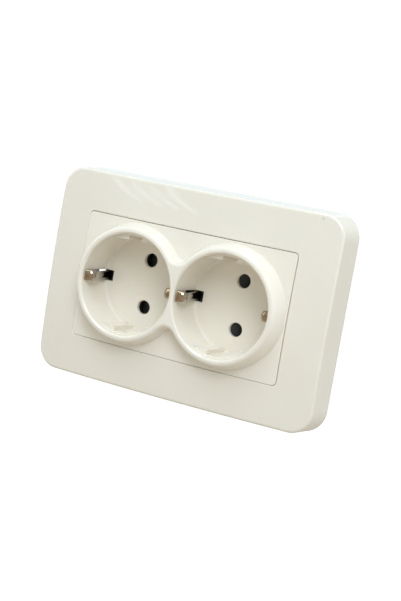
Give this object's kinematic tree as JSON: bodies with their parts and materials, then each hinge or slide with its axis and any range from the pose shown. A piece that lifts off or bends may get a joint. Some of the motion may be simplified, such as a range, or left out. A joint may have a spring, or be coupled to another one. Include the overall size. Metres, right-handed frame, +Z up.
{
  "type": "double schuko socket",
  "caption": "Double earthed socket outlet: domed cover frame, two raised round cups with shuttered pin holes and side earth clips, on one block for a round wall box.",
  "frame": {"origin": "middle of the two box-screw slots, in the wall plane behind the cover frame", "axes": "+X to the right, +Z up, -Y out of the wall towards the room, +Y into the wall box"},
  "size_m": [0.1234, 0.0474, 0.0834],
  "materials": {
    "frame_plastic": "gloss, warm white",
    "insert_plastic": "gloss, warm white",
    "shutter_plastic": "fine matt, black",
    "base_plastic": "matt, dark grey",
    "lever_plastic": "satin, orange",
    "plate_steel": "zinc-plated sheet",
    "contact_brass": "bright stamped brass",
    "clip_metal": "nickel-plated brass, bright",
    "spring_steel": "bright spring steel",
    "screw_steel": "zinc-plated"
  },
  "bodies": {
    "housing": {"cover_frame": "frame_plastic", "socket_insert": "insert_plastic", "support_plate": "plate_steel", "base_block": "base_plastic", "rear_cover": "base_plastic", "cover_screws": "screw_steel", "line_contact_strip": "contact_brass", "neutral_contact_strip": "contact_brass", "earth_bracket_left": "clip_metal", "earth_bracket_right": "clip_metal", "earth_link": "contact_brass", "shutter_spring_left": "spring_steel", "shutter_spring_right": "spring_steel", "line_clamp_spring": "spring_steel", "neutral_clamp_spring": "spring_steel", "earth_clamp_spring": "spring_steel"},
    "left_shutter": {"shutter_left": "shutter_plastic"},
    "right_shutter": {"shutter_right": "shutter_plastic"},
    "line_lever": {"line_release_lever": "lever_plastic"},
    "neutral_lever": {"neutral_release_lever": "lever_plastic"},
    "earth_lever": {"earth_release_lever": "lever_plastic"}
  },
  "joints": [
    {"name": "left_shutter_slide", "type": "slide", "parent": "housing", "child": "left_shutter", "axis": [1, 0, 0], "range_m": [0, 0.006], "stiffness_N_per_m": 60, "springref_m": -0.004, "deforming": ["shutter_spring_left"]},
    {"name": "right_shutter_slide", "type": "slide", "parent": "housing", "child": "right_shutter", "axis": [-1, 0, 0], "range_m": [0, 0.006], "stiffness_N_per_m": 60, "springref_m": -0.004, "deforming": ["shutter_spring_right"]},
    {"name": "line_lever_press", "type": "slide", "parent": "housing", "child": "line_lever", "axis": [0, -1, 0], "range_m": [0, 0.0015], "stiffness_N_per_m": 30, "springref_m": -0.002, "deforming": ["line_clamp_spring"]},
    {"name": "neutral_lever_press", "type": "slide", "parent": "housing", "child": "neutral_lever", "axis": [0, -1, 0], "range_m": [0, 0.0015], "stiffness_N_per_m": 30, "springref_m": -0.002, "deforming": ["neutral_clamp_spring"]},
    {"name": "earth_lever_press", "type": "slide", "parent": "housing", "child": "earth_lever", "axis": [0, -1, 0], "range_m": [0, 0.0015], "stiffness_N_per_m": 30, "springref_m": -0.002, "deforming": ["earth_clamp_spring"]}
  ]
}
